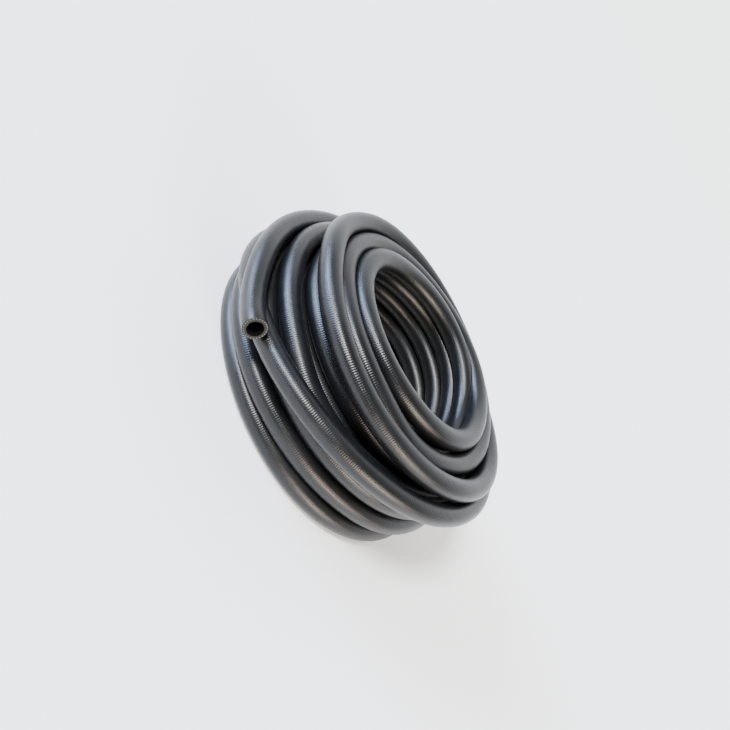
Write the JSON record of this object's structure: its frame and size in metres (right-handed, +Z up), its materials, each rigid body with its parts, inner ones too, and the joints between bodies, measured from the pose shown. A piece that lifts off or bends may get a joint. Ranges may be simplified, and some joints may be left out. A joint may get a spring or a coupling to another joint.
{
  "type": "rubber hose coil",
  "caption": "Coil of plain black rubber hose with a thick wall and an open round eye, its last lap laid round the outside and cut square to show the bore.",
  "frame": {"origin": "centre of the underside of the part's box, on the plane that the lying coil rests on", "axes": "+Z up along the coil's axis, out of the end that faces the viewer in the picture; -Y towards the side of the tread that the picture shows nearest"},
  "size_m": [0.4616, 0.4786, 0.1795],
  "materials": {
    "hose_rubber": "semi-gloss black with a fine cloth-cured texture"
  },
  "bodies": {
    "root": {"wound_coil": "hose_rubber", "free_end": "hose_rubber"}
  },
  "joints": []
}
